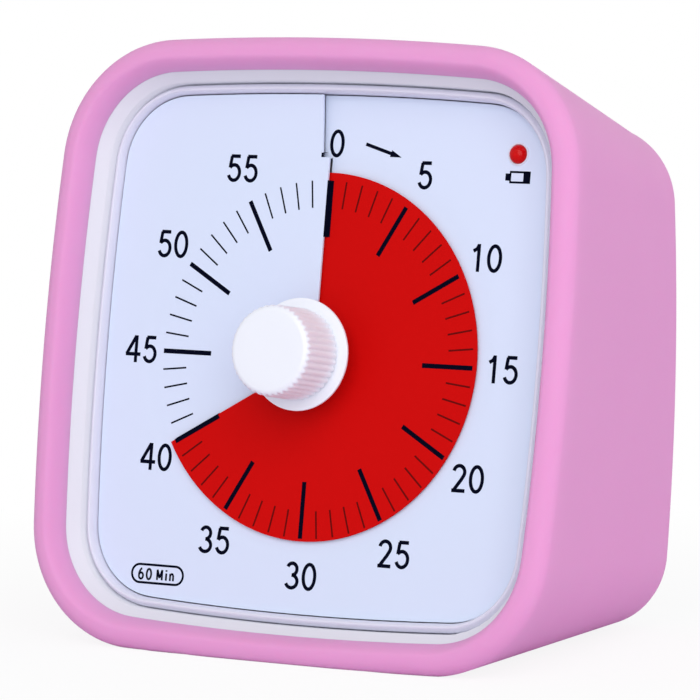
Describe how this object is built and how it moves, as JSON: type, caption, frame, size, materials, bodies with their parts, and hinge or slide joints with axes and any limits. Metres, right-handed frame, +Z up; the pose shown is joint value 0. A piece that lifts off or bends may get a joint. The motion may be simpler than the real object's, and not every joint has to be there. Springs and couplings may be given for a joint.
{
  "type": "visual countdown timer",
  "caption": "Free-standing countdown timer with a leaning square face, a knob that sets a red disc sliding through a slit dial, and a soft sleeve.",
  "frame": {"origin": "on the surface that the timer stands on, under the centre of its overall box", "axes": "+Z up, -Y out of the front, +X to the right as seen from the front"},
  "size_m": [0.0774, 0.0559, 0.0783],
  "materials": {
    "pink_silicone": "matte",
    "white_abs": "satin",
    "dial_print": "printed, satin",
    "red_sheet": "printed, satin",
    "white_knob": "satin",
    "steel": "satin",
    "red_lens": "clear red",
    "board_green": "solder mask",
    "dark_plastic": "moulded",
    "wheel_plastic": "moulded",
    "wheel_red": "moulded",
    "wheel_blue": "moulded",
    "spring_brass": "sprung sheet",
    "copper_wire": "enamelled wire",
    "battery_wrap": "printed wrap",
    "slider_black": "moulded"
  },
  "bodies": {
    "body": {"silicone_sleeve": "pink_silicone", "front_housing": "white_abs", "dial_frame": "white_abs", "dial_plate": "dial_print", "led_lamp": "red_lens", "led_board": "board_green", "movement_case_front": "dark_plastic", "movement_case_back": "dark_plastic", "movement_screws": "steel", "contact_leaf": "spring_brass", "stator": "steel", "coil": "copper_wire", "circuit_board": "board_green", "board_screws": "steel", "timer_chip": "dark_plastic", "quartz_crystal": "steel", "capacitor": "battery_wrap", "speaker": "dark_plastic", "volume_switch": "dark_plastic", "alarm_switch": "dark_plastic", "rear_cover": "white_abs", "rear_screws": "steel", "battery": "battery_wrap", "positive_contact": "steel", "negative_spring": "steel"},
    "knob": {"time_knob": "white_knob", "drive_shaft": "steel", "centre_wheel": "wheel_plastic", "clutch_spring": "spring_brass", "shaft_clip": "steel", "contact_cam": "wheel_plastic"},
    "disc": {"red_disc": "red_sheet"},
    "third": {"third_wheel": "wheel_red"},
    "second": {"second_wheel": "wheel_blue"},
    "rotor": {"rotor": "dark_plastic"},
    "volume": {"volume_slider": "slider_black"},
    "alarm": {"alarm_slider": "slider_black"},
    "door": {"battery_door": "white_abs"}
  },
  "joints": [
    {"name": "knob_turn", "type": "hinge", "parent": "body", "child": "knob", "pos_m": [-0.0004, -0.01719, 0.03803], "axis": [0, -0.9877, 0.1564], "range_deg": [-120, 240]},
    {"name": "disc_screw", "type": "slide", "parent": "knob", "child": "disc", "axis": [0, -0.9877, 0.1564], "range_m": [-0.00074, 0.00037]},
    {"name": "third_spin", "type": "hinge", "parent": "body", "child": "third", "pos_m": [-0.00846, -0.00615, 0.02462], "axis": [0, -0.9877, 0.1564], "range_deg": [-1445, 725]},
    {"name": "second_spin", "type": "hinge", "parent": "body", "child": "second", "pos_m": [0.00341, -0.00648, 0.02255], "axis": [0, -0.9877, 0.1564], "range_deg": [-3610, 7210]},
    {"name": "rotor_spin", "type": "hinge", "parent": "body", "child": "rotor", "pos_m": [0.01178, -0.00573, 0.02732], "axis": [0, -0.9877, 0.1564], "range_deg": [-36010, 18010]},
    {"name": "volume_slide", "type": "slide", "parent": "body", "child": "volume", "axis": [1, 0, 0], "range_m": [-0.002, 0.002]},
    {"name": "alarm_slide", "type": "slide", "parent": "body", "child": "alarm", "axis": [-1, 0, 0], "range_m": [0, 0.004]},
    {"name": "battery_door_pull", "type": "slide", "parent": "body", "child": "door", "axis": [0, 0.9994, -0.0349], "range_m": [0, 0.02]}
  ],
  "couplings": [
    {"joint": "disc_screw", "follows": "knob_turn", "m_per_rad": -0.00017507},
    {"joint": "third_spin", "follows": "knob_turn", "ratio": -6},
    {"joint": "second_spin", "follows": "knob_turn", "ratio": 30},
    {"joint": "rotor_spin", "follows": "knob_turn", "ratio": -150}
  ]
}
